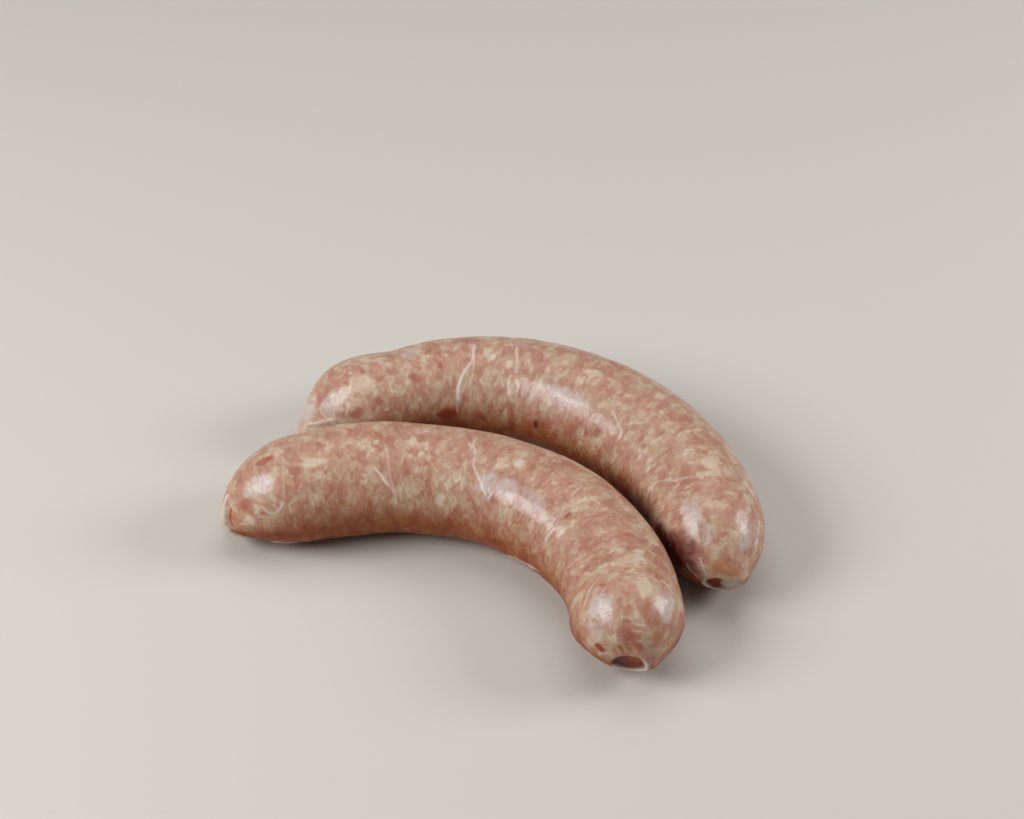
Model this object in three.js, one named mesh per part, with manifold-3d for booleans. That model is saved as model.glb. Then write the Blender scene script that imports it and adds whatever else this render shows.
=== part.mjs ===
// Two fresh sausage links lying side by side, still joined by the twist of casing between them.
// Millimetres, +Z up. The string lies on z = 0, and the origin is under the middle of its box.

import * as THREE from 'three';
import { mergeVertices } from 'three/addons/utils/BufferGeometryUtils.js';
import Module from 'manifold-3d';

// ---- Driving dimensions ----

// A link is a straight round body bent along an axis that lies in the plan.
// start: where the axis begins, at the tapered tip. headings: degrees from +X, at equal steps.
// girth: shares of the radius, at equal steps. dents: where one side is pressed in, at a share of
// the length, by a share of the radius, over a width, facing so many degrees round from the top.
// Degrees round are positive to the right of the link's run and negative to its left.
// tip: the tapered end next to the twist. end: the blunt end, which closes in a cut collar.
const FRONT_LINK = {
  radius: 16,
  length: 163.6,
  start: [-78.03, -5.44],
  headings: [27, 6.4, -21.3, -60.7, -99.3],
  girth: [0.94, 0.97, 1.01, 0.99, 0.99, 1.01, 0.98, 0.96, 0.98],
  dents: [],
  tip: { reach: 23.2, pole: 1.87, shoulder: 1.46, height: 7.4, fall: 1.7 },
  end: { reach: 15.2, roundness: 1.75, droop: 4.7 },
};

const REAR_LINK = {
  radius: 15.2,
  length: 178.6,
  start: [-60.08, 31.19],
  headings: [35.8, 9.5, -30, -59.1, -95.1],
  girth: [0.96, 1.06, 0.95, 0.99, 1.05, 1.08, 1.07, 1.01, 0.97],
  dents: [{ at: 0.18, depth: 0.22, width: 10, facing: -42 }],
  tip: { reach: 31.2, pole: 1.56, shoulder: 1.25, height: 4.2, fall: 1.7 },
  end: { reach: 21.4, roundness: 1.95, droop: 4 },
};

// The collar is the gathered rim of cut casing on a blunt end, round a shallow dish of meat.
// lip: points of the rim's section, in rims inward and stands upward from its outer foot.
const COLLAR = {
  radius: 6.2,
  rim: 0.9,
  stand: 1.1,
  dish: 0.4,
  lip: [[0.2, 0.75], [0.7, 1], [1.3, 0.7]],
};

// The twist is a short rope of bare casing. It leaves the back of the front link's tip, crosses
// the floor and ends inside the rear link's tip.
const TWIST = {
  route: [
    [-73.6, -3.6, 6.4],
    [-75.6, -2.6, 6],
    [-76.7, -0.4, 5.3],
    [-76.4, 3.2, 4.1],
    [-74.9, 8, 2.8],
    [-71.4, 16.1, 2],
    [-66, 23.9, 2.4],
    [-60.9, 30.1, 3.8],
    [-56.7, 33.5, 5],
  ],
  radius: 1.8,
  pleat: 0.22,
  pleats: 4,
  turns: 5,
  flare: 0.45,
};

// A lying link sinks a little into its own round: 6% of its radius gives a flat about 11 mm wide.
const AXIS_HEIGHT = 0.94;
const SPREAD = 1.04;
const DROOP_POWER = 2;

// Fineness of the faceted solid. Sides of 10 degrees put one corner on each edge of the flat.
const LINK_SIDES = 36;
const CAP_RINGS = 8;
const BODY_RINGS = 22;
const AXIS_STEPS = 400;
const TWIST_SIDES = 12;
const TWIST_STEPS = 36;

const MEAT = { color: 0xc99886, roughness: 0.34, metalness: 0 };

// ---- Curves ----

// A smooth curve through values at equal steps, at a share from 0 to 1 of the way along.
function through(values, share) {
  const last = values.length - 1;
  const place = THREE.MathUtils.clamp(share, 0, 1) * last;
  const i = Math.min(Math.floor(place), last - 1);
  const before = values[Math.max(i - 1, 0)];
  const after = values[Math.min(i + 2, last)];
  const slopeIn = (values[i + 1] - before) / 2;
  const slopeOut = (after - values[i]) / 2;
  const rise = values[i + 1] - values[i];
  const f = place - i;
  return values[i] + f * (slopeIn + f * (3 * rise - 2 * slopeIn - slopeOut
    + f * (slopeIn + slopeOut - 2 * rise)));
}

function radiusAt(link, distance) {
  return link.radius * through(link.girth, distance / link.length);
}

// The share of the radius that is pressed in, at a distance along and an angle round from the top.
function dentAt(link, distance, around) {
  let share = 0;
  for (const dent of link.dents) {
    const near = Math.exp(-(((distance - dent.at * link.length) / dent.width) ** 2));
    const toward = 0.5 + 0.5 * Math.cos(around - THREE.MathUtils.degToRad(dent.facing));
    share += dent.depth * near * toward ** 2;
  }
  return share;
}

// Height of the axis: level along the body, lower towards the pointed tip and the blunt end.
function heightAt(link, distance) {
  const level = AXIS_HEIGHT * radiusAt(link, distance);
  const toTip = Math.max(1 - distance / link.tip.reach, 0) ** link.tip.fall;
  const toEnd = Math.max(1 - (link.length - distance) / link.end.reach, 0) ** DROOP_POWER;
  return level - toTip * (level - link.tip.height) - toEnd * link.end.droop;
}

// The axis adds up its heading in small steps, so its length is exact and its bend is smooth.
function linkAxis(link) {
  const points = [];
  const step = link.length / AXIS_STEPS;
  let [x, y] = link.start;
  for (let i = 0; i <= AXIS_STEPS; i += 1) {
    points.push(new THREE.Vector3(x, y, heightAt(link, i * step)));
    const heading = THREE.MathUtils.degToRad(through(link.headings, (i + 0.5) / AXIS_STEPS));
    x += step * Math.cos(heading);
    y += step * Math.sin(heading);
  }
  return points;
}

// ---- Straight bodies ----

// Half the outline of a straight link, from its tip at 0 to its collar at its length.
function linkProfile(link) {
  const profile = [];
  const addRing = (distance, share) => {
    profile.push(new THREE.Vector2(radiusAt(link, distance) * share, distance));
  };

  for (let i = 0; i <= CAP_RINGS; i += 1) {
    const angle = (Math.PI / 2) * (i / CAP_RINGS);
    const along = 1 - Math.max(Math.cos(angle), 0) ** (2 / link.tip.pole);
    addRing(link.tip.reach * along, Math.sin(angle) ** (2 / link.tip.shoulder));
  }

  const bodyLength = link.length - link.tip.reach - link.end.reach;
  for (let i = 1; i <= BODY_RINGS; i += 1) {
    addRing(link.tip.reach + (bodyLength * i) / BODY_RINGS, 1);
  }

  // The blunt end is rounded down to the collar.
  const power = 2 / link.end.roundness;
  const radius = radiusAt(link, link.length);
  const collarAngle = Math.asin((COLLAR.radius / radius) ** (1 / power));
  for (let i = 1; i <= CAP_RINGS; i += 1) {
    const angle = THREE.MathUtils.lerp(Math.PI / 2, collarAngle, i / CAP_RINGS);
    const back = link.end.reach * (1 - Math.cos(angle) ** power);
    addRing(link.length - back, Math.sin(angle) ** power);
  }

  const foot = profile[profile.length - 1].y;
  for (const [inward, upward] of COLLAR.lip) {
    const out = COLLAR.radius - COLLAR.rim * inward;
    profile.push(new THREE.Vector2(out, foot + COLLAR.stand * upward));
  }
  profile.push(new THREE.Vector2(COLLAR.radius - COLLAR.rim * 2, foot - COLLAR.dish));
  profile.push(new THREE.Vector2(0, foot - COLLAR.dish));
  return profile;
}

// The straight rope of casing, twisted about +Z. Its pleats are lobes of its section.
function straightTwist(length) {
  const outline = new THREE.Shape();
  for (let i = 0; i < TWIST_SIDES; i += 1) {
    const angle = (2 * Math.PI * i) / TWIST_SIDES;
    const radius = TWIST.radius + TWIST.pleat * Math.cos(TWIST.pleats * angle);
    if (i === 0) outline.moveTo(radius, 0);
    else outline.lineTo(radius * Math.cos(angle), radius * Math.sin(angle));
  }
  outline.closePath();

  const rope = new THREE.ExtrudeGeometry(outline, {
    depth: length,
    steps: TWIST_STEPS,
    bevelEnabled: false,
  });
  const position = rope.attributes.position;
  for (let i = 0; i < position.count; i += 1) {
    const share = position.getZ(i) / length;
    const turn = 2 * Math.PI * TWIST.turns * share;
    const swell = 1 + TWIST.flare * Math.abs(2 * share - 1) ** 4;
    const x = swell * position.getX(i);
    const y = swell * position.getY(i);
    position.setX(i, x * Math.cos(turn) - y * Math.sin(turn));
    position.setY(i, x * Math.sin(turn) + y * Math.cos(turn));
  }
  return rope;
}

// ---- Bending ----

// Carries a straight body from its own axis on to a line of points: across goes to the level
// side of the line and up to its upper side. What would go under the floor is pressed flat.
function bend(geometry, points, length, localPlace) {
  const position = geometry.attributes.position;
  const last = points.length - 1;
  const local = new THREE.Vector3();
  for (let i = 0; i < position.count; i += 1) {
    local.fromBufferAttribute(position, i);
    const { distance, across, up } = localPlace(local);
    const place = THREE.MathUtils.clamp(distance / length, 0, 1) * last;
    const k = Math.min(Math.floor(place), last - 1);
    const ahead = points[Math.min(k + 2, last)];
    const tangent = ahead.clone().sub(points[Math.max(k - 1, 0)]).normalize();
    const side = new THREE.Vector3(-tangent.y, tangent.x, 0).normalize();
    const upward = tangent.clone().cross(side);
    const bent = points[k].clone().lerp(points[k + 1], place - k);
    bent.addScaledVector(side, across);
    bent.addScaledVector(upward, up);
    position.setXYZ(i, bent.x, bent.y, Math.max(bent.z, 0));
  }
  return geometry;
}

function linkGeometry(link) {
  const straight = new THREE.LatheGeometry(linkProfile(link), LINK_SIDES);
  return bend(straight, linkAxis(link), link.length, (local) => {
    const kept = 1 - dentAt(link, local.y, Math.atan2(-local.z, local.x));
    return {
      distance: local.y,
      across: local.z * SPREAD * kept,
      up: local.x * kept,
    };
  });
}

function twistGeometry() {
  const route = new THREE.CatmullRomCurve3(TWIST.route.map((p) => new THREE.Vector3(...p)));
  const length = route.getLength();
  return bend(straightTwist(length), route.getSpacedPoints(AXIS_STEPS), length, (local) => ({
    distance: local.z,
    across: local.x,
    up: local.y,
  }));
}

// ---- Joining ----

const wasm = await Module();
wasm.setup();

// A closed geometry as a solid: shared corners are merged and flat triangles at a pole dropped.
function solid(geometry) {
  const bare = geometry.clone();
  bare.deleteAttribute('normal');
  bare.deleteAttribute('uv');
  const merged = mergeVertices(bare, 1e-4);
  const corners = [];
  for (let i = 0; i < merged.index.count; i += 3) {
    const triangle = [0, 1, 2].map((k) => merged.index.getX(i + k));
    if (new Set(triangle).size === 3) corners.push(...triangle);
  }
  return new wasm.Manifold(new wasm.Mesh({
    numProp: 3,
    vertProperties: new Float32Array(merged.attributes.position.array),
    triVerts: new Uint32Array(corners),
  }));
}

function geometryOf(body) {
  const mesh = body.getMesh();
  const geometry = new THREE.BufferGeometry();
  geometry.setAttribute('position', new THREE.BufferAttribute(mesh.vertProperties, 3));
  geometry.setIndex(new THREE.BufferAttribute(mesh.triVerts, 1));
  geometry.computeVertexNormals();
  return geometry;
}

const joined = solid(linkGeometry(FRONT_LINK))
  .add(solid(linkGeometry(REAR_LINK)))
  .add(solid(twistGeometry()));

const sausageString = new THREE.Mesh(geometryOf(joined), new THREE.MeshStandardMaterial(MEAT));
sausageString.name = 'sausage_string';

const model = new THREE.Group();
model.add(sausageString);

export default model;
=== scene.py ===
# %% [markdown]
# # Two fresh sausage links on their twist
# Each link is coarse-ground pork in a natural casing: a wet skin about 0.2 mm thick that shows the
# pink lean and cream fat under it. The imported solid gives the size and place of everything, and
# this script dresses it. It could be one sculpted mesh. It is built instead from the same few
# driving sizes as the solid, so that skin, twist and frills all meet where the solid says.

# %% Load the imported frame
import math

import bpy
import numpy as np
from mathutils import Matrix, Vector


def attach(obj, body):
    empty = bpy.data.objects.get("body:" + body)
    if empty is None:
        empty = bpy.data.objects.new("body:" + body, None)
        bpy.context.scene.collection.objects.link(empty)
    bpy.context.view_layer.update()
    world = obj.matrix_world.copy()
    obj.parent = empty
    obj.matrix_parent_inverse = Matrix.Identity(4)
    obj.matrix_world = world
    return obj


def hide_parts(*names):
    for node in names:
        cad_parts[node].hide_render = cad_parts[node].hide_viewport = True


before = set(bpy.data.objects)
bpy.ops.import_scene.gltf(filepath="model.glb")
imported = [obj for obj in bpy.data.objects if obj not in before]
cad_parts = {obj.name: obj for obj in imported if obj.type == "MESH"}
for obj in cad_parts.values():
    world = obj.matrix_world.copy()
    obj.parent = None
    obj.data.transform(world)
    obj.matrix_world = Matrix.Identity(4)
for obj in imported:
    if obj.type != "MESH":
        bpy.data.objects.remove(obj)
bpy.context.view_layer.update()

MM = 0.001              # metres in a millimetre
scene = bpy.context.scene

# %% [markdown]
# ## Camera
# The links are seen from in front and above, by a long lens that hardly narrows them with
# distance. The lens and the distance could be set by eye. They are worked out from the width of
# the frame in pixels and from how many pixels one millimetre takes, so the scale stays known.

# %% Place the camera
IMAGE_WIDTH = 1024
SENSOR_WIDTH = 36.0
FOCAL_PIXELS = 2300
PIXELS_PER_MM = 3.294
CAMERA_PITCH = math.radians(42)
CAMERA_AIM = Vector((0.0063, 0.0366, 0.016))
NEAREST_SEEN = 0.01     # metres

camera_data = bpy.data.cameras.new("camera")
camera_data.sensor_width = SENSOR_WIDTH
camera_data.lens = SENSOR_WIDTH * FOCAL_PIXELS / IMAGE_WIDTH
camera_data.clip_start = NEAREST_SEEN
camera = bpy.data.objects.new("camera", camera_data)
camera_distance = FOCAL_PIXELS / PIXELS_PER_MM * MM
backward = Vector((0, -math.cos(CAMERA_PITCH), math.sin(CAMERA_PITCH)))
camera.location = CAMERA_AIM + backward * camera_distance
camera.rotation_euler = (math.pi / 2 - CAMERA_PITCH, 0, 0)
scene.collection.objects.link(camera)
scene.camera = camera
scene.view_settings.view_transform = "Standard"
print(f"camera {camera_distance:.3f} m away, lens {camera_data.lens:.1f} mm")

# %% [markdown]
# ## Driving sizes
# A link is a straight round body bent along an axis that lies in the plan. All sizes are in
# millimetres, and a mesh turns them into metres when it is made. `girth` and `headings` are
# values at equal steps along the axis. A dent presses in a share of the radius on one side. The
# tapered tip is next to the twist, and a frilled one has spiral pleats. The blunt end closes in a
# collar of cut casing, whose `rim` is a section drawn inward and forward from the collar's foot,
# round a shallow dish of meat. The collar sits a little `aside` of the axis, and its upper edge
# leans back by `lean`, or forward where that is negative. On the side where it is `bare`, the
# casing has drawn back from the rim, and the meat goes straight over. A `bruised` dish is purple
# on one side, and over a `torn` one there is still some skin.

# %% Sizes of the links and the twist
FRONT = dict(
    radius=16, length=163.6, start=(-78.03, -5.44),
    headings=(27, 6.4, -21.3, -60.7, -99.3),
    girth=(0.94, 0.97, 1.01, 0.99, 0.99, 1.01, 0.98, 0.96, 0.98),
    dents=(),
    tip=dict(reach=23.2, pole=1.87, shoulder=1.46, height=7.4, fall=1.7, frilled=0),
    end=dict(reach=15.2, roundness=1.75, droop=4.7),
    rim=((0, 0), (0.6, 0.2), (1.0, 0.35), (1.5, 0.45), (1.9, 0.2), (2.3, -0.2), (3.0, -0.4),
         (6.2, -0.4)),
    collar=dict(aside=-0.9, lean=1.2, bare=1.0, bare_at=35, bruised=1, torn=0),
)
REAR = dict(
    radius=15.2, length=178.6, start=(-60.08, 31.19),
    headings=(35.8, 9.5, -30, -59.1, -95.1),
    girth=(0.96, 1.06, 0.95, 0.99, 1.05, 1.08, 1.07, 1.01, 0.97),
    dents=(dict(at=0.18, depth=0.22, width=10, facing=-42),),
    tip=dict(reach=31.2, pole=1.56, shoulder=1.25, height=4.2, fall=1.7, frilled=1),
    end=dict(reach=21.4, roundness=1.95, droop=4),
    rim=((0, 0), (0.4, 0.25), (0.7, 0.4), (1.0, 0.5), (1.3, 0.35), (1.8, 0), (2.6, -0.25),
         (6.2, -0.25)),
    collar=dict(aside=-2.3, lean=-1.0, bare=0.5, bare_at=-10, bruised=0, torn=1),
)
COLLAR_RADIUS = 6.2
TWIST_ROUTE = (
    (-73.6, -3.6, 6.4), (-75.6, -2.6, 6), (-76.7, -0.4, 5.3), (-76.4, 3.2, 4.1),
    (-74.9, 8, 2.8), (-71.4, 16.1, 2), (-66, 23.9, 2.4), (-60.9, 30.1, 3.8), (-56.7, 33.5, 5),
)
TWIST = dict(radius=1.8, turns=5, flare=0.45, pleats=4, pleat=0.22, fine_pleats=11, fine=0.10)

AXIS_HEIGHT = 0.94      # height of the axis over the floor, as a share of the radius
SPREAD = 1.04           # a lying link is this much wider
AXIS_STEPS = 800
GRID = 0.45             # mm between neighbouring points of a skin

# %% [markdown]
# ## The bent axis
# A curve object could carry the bend, but the relief and the colours below also need to know how
# far along and how far around the link each point is. So the axis is added up step by step from
# its headings, and every point of a skin keeps its two coordinates: millimetres along, and degrees
# around from the top, positive on the right-hand side of the way from tip to end.


# %% Follow the axis
def through(values, share):
    """A smooth curve through values at equal steps, at shares from 0 to 1 of the way along."""
    values = np.asarray(values, float)
    last = len(values) - 1
    place = np.clip(share, 0, 1) * last
    i = np.minimum(np.floor(place).astype(int), last - 1)
    before, after = values[np.maximum(i - 1, 0)], values[np.minimum(i + 2, last)]
    here, there = values[i], values[i + 1]
    f = place - i
    if values.ndim > 1:
        f = f[:, None]
    slope_in, slope_out, rise = (there - before) / 2, (after - here) / 2, there - here
    cubic = slope_in + slope_out - 2 * rise
    return here + f * (slope_in + f * (3 * rise - 2 * slope_in - slope_out + f * cubic))


def radius_at(link, distance):
    """Radius of the body at a distance along the axis."""
    return link["radius"] * through(link["girth"], distance / link["length"])


def dent_at(link, distance, around):
    """The share of the radius that is pressed in at places on the side a dent faces."""
    share = np.zeros_like(distance)
    for dent in link["dents"]:
        near = np.exp(-(((distance - dent["at"] * link["length"]) / dent["width"]) ** 2))
        toward = 0.5 + 0.5 * np.cos(around - math.radians(dent["facing"]))
        share += dent["depth"] * near * toward ** 2
    return share


def axis_of(link):
    """Distances along the axis with its points, forward and side directions there."""
    tip, end = link["tip"], link["end"]
    step = link["length"] / AXIS_STEPS
    distance = np.arange(AXIS_STEPS + 1) * step
    heading = np.radians(through(link["headings"], (np.arange(AXIS_STEPS) + 0.5) / AXIS_STEPS))
    x = link["start"][0] + np.concatenate([[0], np.cumsum(step * np.cos(heading))])
    y = link["start"][1] + np.concatenate([[0], np.cumsum(step * np.sin(heading))])
    level = AXIS_HEIGHT * radius_at(link, distance)
    to_tip = np.maximum(1 - distance / tip["reach"], 0) ** tip["fall"]
    to_end = np.maximum(1 - (link["length"] - distance) / end["reach"], 0) ** 2
    z = level - to_tip * (level - tip["height"]) - to_end * end["droop"]
    points = np.stack([x, y, z], 1)
    forward = np.gradient(points, axis=0)
    forward /= np.linalg.norm(forward, axis=1)[:, None]
    return distance, points, forward


def unit(vectors):
    """The same directions, each 1 long."""
    return vectors / np.linalg.norm(vectors, axis=-1, keepdims=True)


def bend(link, along, outward, around):
    """Points at distances along the axis, at distances outward from it, at angles from its top."""
    distance, points, forward = axis_of(link)
    outward = outward * (1 - dent_at(link, along, around))
    centre = np.stack([np.interp(along, distance, points[:, k]) for k in range(3)], -1)
    ahead = unit(np.stack([np.interp(along, distance, forward[:, k]) for k in range(3)], -1))
    beyond = along - np.clip(along, 0, link["length"])
    centre = centre + beyond[..., None] * ahead
    left = unit(np.stack([-ahead[..., 1], ahead[..., 0], np.zeros_like(along)], -1))
    up = np.cross(ahead, left)
    across = (-SPREAD * outward * np.sin(around))[..., None] * left
    return centre + across + (outward * np.cos(around))[..., None] * up


print("the axis of the rear link is", REAR["length"], "mm long")

# %% [markdown]
# ## Random lumps
# Meat is uneven at several sizes. The unevenness has to be the same on every run and has to reach
# the mesh itself, so it comes from a small seeded table of random numbers, blended smoothly.


# %% Make lumps
LATTICE = 32


def lumps(place, size, seed):
    """Smooth random values from -1 to 1 at places in mm, in lumps of about that size."""
    table = np.random.default_rng(seed).uniform(-1, 1, (LATTICE,) * 3)
    scaled = place / size
    cell = np.floor(scaled).astype(int)
    part = scaled - cell
    part = part * part * (3 - 2 * part)
    total = np.zeros(place.shape[:-1])
    for corner in np.ndindex(2, 2, 2):
        share = np.prod(np.where(corner, part, 1 - part), axis=-1)
        index = (cell + corner) % LATTICE
        total += share * table[index[..., 0], index[..., 1], index[..., 2]]
    return total


def uneven(place, lump, seed):
    """Lumps of a (height, size). The size is in mm."""
    height, size = lump
    return height * lumps(place, size, seed)


def smooth_step(low, high, value):
    """0 below low, 1 above high, and smooth between."""
    f = np.clip((value - low) / (high - low), 0, 1)
    return f * f * (3 - 2 * f)


# %% [markdown]
# ## Straight skin
# A skin is a grid of rows along the link and columns around it. Its rows are spaced evenly along
# the outline, so that the steep ends get as many as the body. The outline goes over the rounded
# end, up the collar's rim and down into the dish.


# %% Trace the outline
TIP_STEPS = 300
BODY_STEPS = 500
END_STEPS = 200
RIM_STEPS = 120


def outline(link):
    """(along, outward) of rows spaced by GRID, from the tip's pole to the middle of the dish, and
    where along the link the foot of the collar is."""
    tip, end = link["tip"], link["end"]
    quarter = np.linspace(0, math.pi / 2, TIP_STEPS)
    tip_along = tip["reach"] * (1 - np.cos(quarter).clip(0) ** (2 / tip["pole"]))
    tip_out = radius_at(link, tip_along) * np.sin(quarter) ** (2 / tip["shoulder"])
    body_along = np.linspace(tip["reach"], link["length"] - end["reach"], BODY_STEPS)[1:-1]
    power = 2 / end["roundness"]
    share = COLLAR_RADIUS / radius_at(link, np.array(link["length"]))
    back = np.linspace(math.pi / 2, math.asin(share ** (1 / power)), END_STEPS)
    end_along = link["length"] - end["reach"] * (1 - np.cos(back).clip(0) ** power)
    end_out = radius_at(link, end_along) * np.sin(back) ** power
    rim = through(link["rim"], np.linspace(0, 1, RIM_STEPS))[1:]
    along = np.concatenate([tip_along, body_along, end_along, end_along[-1] + rim[:, 1]])
    out = np.concatenate([tip_out, radius_at(link, body_along), end_out, end_out[-1] - rim[:, 0]])
    out[-1] = 0
    path = np.concatenate([[0], np.cumsum(np.hypot(np.diff(along), np.diff(out)))])
    rows = np.linspace(0, path[-1], round(path[-1] / GRID) + 1)
    return np.interp(rows, path, along), np.interp(rows, path, out), end_along[-1]


for name, link in (("front", FRONT), ("rear", REAR)):
    print(name, "link:", len(outline(link)[0]), "rows")

# %% [markdown]
# ## Marks on the casing
# A natural casing carries pale threads of vein and fold, and where it lies loose it turns pearly; the
# pearly patches here are laid where the highlights fall, so they are also painted highlight.
# Under it there are single lumps of fat and lean, and a purple bruise where blood has gathered.
# They could be painted on an image. Here each is a short list of places in millimetres along and
# degrees around, which become soft masks on the points of the skin, so that relief and colour
# agree.

# %% List the lines
# Each line: (mask, width, lift, strength, places). Lift is how far it stands out of the skin.
FRONT_LINES = (
    ("casing", 2.00, 0.90, 0.90, ((6.2, -8), (4.8, -2), (3.4, 4), (2.0, 12), (1.0, 34), (1.0, 60),
                                 (1.2, 88), (2.1, 103), (3.1, 107))),
    ("brown_and_shade", 0.55, -0.20, 1.0, ((5.2, 18), (4.0, 24), (3.0, 36), (2.6, 52), (2.8, 68))),
    ("thread", 0.30, 0.15, 0.8, ((5.4, 11), (5.7, 29), (5.6, 48))),
    ("thread", 0.34, 0.10, 0.8, ((4.6, 58), (6.4, 65))),
    ("thread", 0.32, 0.08, 0.6, ((22.5, -18), (21.4, 3), (19.9, 31), (18.2, 51))),
    ("thread", 0.40, 0.20, 1.0, ((18.2, 51), (17.1, 57), (14.9, 61), (13.1, 58), (12.8, 52),
                                 (12.0, 47), (10.4, 50), (9.8, 53))),
    ("thread", 0.26, 0.08, 0.6, ((9.6, 55), (10.8, 60), (12.3, 62))),
    ("brown_and_shade", 0.70, -0.10, 0.6, ((11.2, 54), (12.4, 57))),
    ("thread", 0.22, 0.05, 0.5, ((27.6, 33), (28.6, 38), (29.6, 39), (28.9, 34), (27.8, 32))),
    ("thread", 0.40, 0.22, 1.0, ((46.1, 34), (49.4, 47), (52.7, 61))),
    ("thread", 0.32, 0.08, 0.6, ((49.7, 8), (50.6, 30), (51.5, 47), (53.2, 62), (53.7, 77))),
    ("thread", 0.36, 0.14, 0.8, ((74.2, -17), (77.1, 11), (78.5, 26), (80.6, 33), (83.2, 41),
                                 (86.8, 54))),
    ("thread", 0.28, 0.10, 0.7, ((86.8, 54), (87.4, 48), (89.8, 43), (92.6, 34))),
    ("lean", 0.24, -0.05, 0.8, ((87.8, 52), (88.6, 47), (90.6, 43), (93.2, 33))),
    ("thread", 0.42, 0.16, 1.0, ((114.6, 62), (115.0, 52), (115.3, 42))),
    ("thread", 0.30, 0.10, 0.7, ((115.3, 42), (114.2, 34), (113.2, 26), (111.3, 8), (110, -8))),
    ("thread", 0.30, 0.08, 0.5, ((115.6, 46), (117.0, 36), (118.7, 24))),
    ("thread", 0.30, 0.06, 0.5, ((115.0, -8), (117.5, -16))),
    ("thread", 0.34, 0.10, 0.7, ((144.5, 28), (146.4, 36), (149.6, 46), (151.9, 55))),
    ("thread", 0.30, 0.10, 0.7, ((156.3, -2), (156.4, -14), (156.7, -26))),
    ("thread", 0.26, 0.08, 0.6, ((157.3, -4), (157.5, -16), (157.5, -26))),
    ("thread", 0.50, 0.15, 0.6, ((160.6, 84), (161.0, 66), (161.2, 50))),
    ("thread", 0.45, 0.55, 0.9, ((9, 122), (12, 125), (15, 126), (18, 122))),
    ("thread", 0.50, 0.60, 1.0, ((95, 122), (98, 118), (101, 114), (105, 112), (110, 109),
                                 (115, 102))),
)
REAR_LINES = (
    ("thread", 0.50, 0.20, 0.7, ((6.5, 2), (7.8, 17), (9.6, 30), (12.5, 43), (15, 50))),
    ("thread", 0.34, 0.12, 0.8, ((24.5, -14), (23.4, -4), (22.4, 15), (20.2, 33), (18, 46),
                                 (16.6, 53))),
    ("thread", 0.28, 0.06, 0.4, ((28.6, 8), (26.7, 31), (25.9, 42), (25, 54))),
    ("thread", 0.34, 0.10, 0.8, ((12.4, 10), (11.9, 24), (12.3, 38), (14.1, 47))),
    ("thread", 0.24, 0.06, 0.5, ((13.6, 26), (14.8, 30), (14.9, 38), (13.4, 38), (12.9, 30),
                                 (13.6, 26))),
    ("thread", 0.30, 0.10, 0.6, ((38.5, -10), (40.4, -13), (42.4, -17))),
    ("thread", 0.26, 0.08, 0.4, ((36.6, -6), (38.7, 2), (41.4, 12))),
    ("thread", 0.46, 0.22, 1.0, ((59.9, -8), (59.9, 2), (59.6, 18), (56.7, 34), (55, 47),
                                 (54.2, 67))),
    ("thread", 0.80, 0.12, 0.8, ((55.6, 42), (54.7, 52), (54.1, 68))),
    ("thread", 0.30, 0.10, 0.6, ((54.2, 67), (53.6, 82))),
    ("thread", 0.36, 0.14, 0.7, ((59.9, 4), (60.2, 20), (60, 32), (59.1, 51))),
    ("thread", 0.36, 0.10, 0.7, ((72.4, -8), (73, -1), (74.4, 16), (75.7, 31))),
    ("thread", 0.32, 0.12, 0.7, ((74.8, 33), (73.4, 35), (73.9, 49), (76.2, 62), (77.4, 53),
                                 (77, 41), (74.8, 33))),
    ("thread", 0.40, 0.14, 0.9, ((113, 30), (115.5, 34), (118, 37), (120.6, 42), (121.3, 52))),
    ("thread", 0.36, 0.12, 0.8, ((118.4, 38), (121, 32), (123, 26), (125.3, 18))),
    ("thread", 0.38, 0.10, 0.6, ((143.4, 66), (144.4, 60), (144.7, 52), (146.3, 45),
                                 (149.5, 33), (150.5, 25), (152.9, 8))),
    ("thread", 0.36, 0.10, 0.6, ((141.6, 71), (144.3, 73), (144.5, 62))),
    ("thread", 0.40, 0.10, 0.6, ((163, -58), (167.6, -60), (171, -66))),
    ("thread", 0.38, 0.28, 0.9, ((173.4, 60), (174.6, 68), (176.0, 76), (176.8, 95))),
    ("thread", 0.34, 0.24, 0.9, ((173.6, 32), (175, 36), (176.2, 42), (176.6, 60))),
)

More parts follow.
